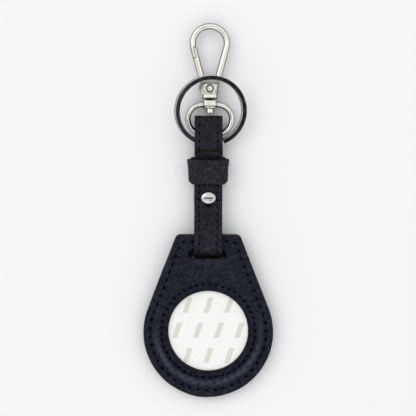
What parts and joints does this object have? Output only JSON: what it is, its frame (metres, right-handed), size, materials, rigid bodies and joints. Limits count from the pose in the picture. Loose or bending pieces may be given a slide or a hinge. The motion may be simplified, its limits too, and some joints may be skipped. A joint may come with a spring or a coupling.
{
  "type": "tracker tag holder",
  "caption": "Pear-shaped leather holder with a round tag window, on a looped leather strap with a keeper and stud, a split ring and a swivel snap hook.",
  "frame": {"origin": "on the table under the middle of the object's bounding box", "axes": "+X to the right seen from the front, +Y from the holder towards the snap hook, +Z out of the front, away from the table"},
  "size_m": [0.0528, 0.1516, 0.0115],
  "materials": {
    "leather": "fine grained dark navy leather",
    "lining": "smooth dark lining leather",
    "board": "pressed stiffener board",
    "foam": "soft foam",
    "thread": "waxed navy blue thread",
    "adhesive": "tacky foam tape",
    "liner_paper": "smooth siliconed paper",
    "satin_nickel": "satin nickel plate",
    "nickel": "bright nickel plate",
    "polished_steel": "mirror polished nickel plated steel",
    "wire": "plain spring steel"
  },
  "bodies": {
    "strap": {"strap_outer": "leather", "strap_lining": "lining", "strap_seam": "thread", "stud_head": "satin_nickel", "stud_screw": "satin_nickel"},
    "holder": {"back_panel": "leather", "core_board": "board", "padding_ring": "foam", "front_panel": "leather", "outer_seam": "thread", "inner_seam": "thread", "adhesive_pad": "adhesive"},
    "liner": {"release_liner": "liner_paper"},
    "keeper": {"keeper": "leather", "keeper_staple": "wire"},
    "ring": {"split_ring": "polished_steel"},
    "eye": {"eye_loop": "nickel"},
    "hook": {"hook_body": "nickel", "swivel_post": "nickel", "gate_rivet": "nickel", "gate_spring": "wire"},
    "gate": {"gate": "nickel"}
  },
  "joints": [
    {"name": "strap_bend", "type": "hinge", "parent": "strap", "child": "holder", "pos_m": [0, -0.00456, 0.0046], "axis": [-1, 0, 0], "range_deg": [-50, 60], "deforming": ["strap_outer", "strap_lining", "strap_seam"]},
    {"name": "liner_lift", "type": "slide", "parent": "holder", "child": "liner", "axis": [0, -0.0503, 0.9987], "range_m": [0, 0.02]},
    {"name": "keeper_slide", "type": "slide", "parent": "strap", "child": "keeper", "axis": [0, 1, 0], "range_m": [-0.002, 0.002]},
    {"name": "ring_swing", "type": "hinge", "parent": "strap", "child": "ring", "pos_m": [0.00093, 0.0268, 0.0041], "axis": [1, 0, 0], "range_deg": [-6, 105]},
    {"name": "eye_swing", "type": "hinge", "parent": "strap", "child": "eye", "pos_m": [0.0007, 0.03095, 0.0029], "axis": [1, 0, 0], "range_deg": [-80, 0]},
    {"name": "hook_swivel", "type": "hinge", "parent": "eye", "child": "hook", "pos_m": [0.0007, 0.0454, 0.0029], "axis": [0, 1, 0], "continuous": true},
    {"name": "gate_open", "type": "hinge", "parent": "hook", "child": "gate", "pos_m": [0.0007, 0.04925, 0.0029], "axis": [0, 0, -1], "range_deg": [0, 28], "stiffness_Nm_per_rad": 0.02, "springref_deg": -22.92, "deforming": ["gate_spring"]}
  ]
}
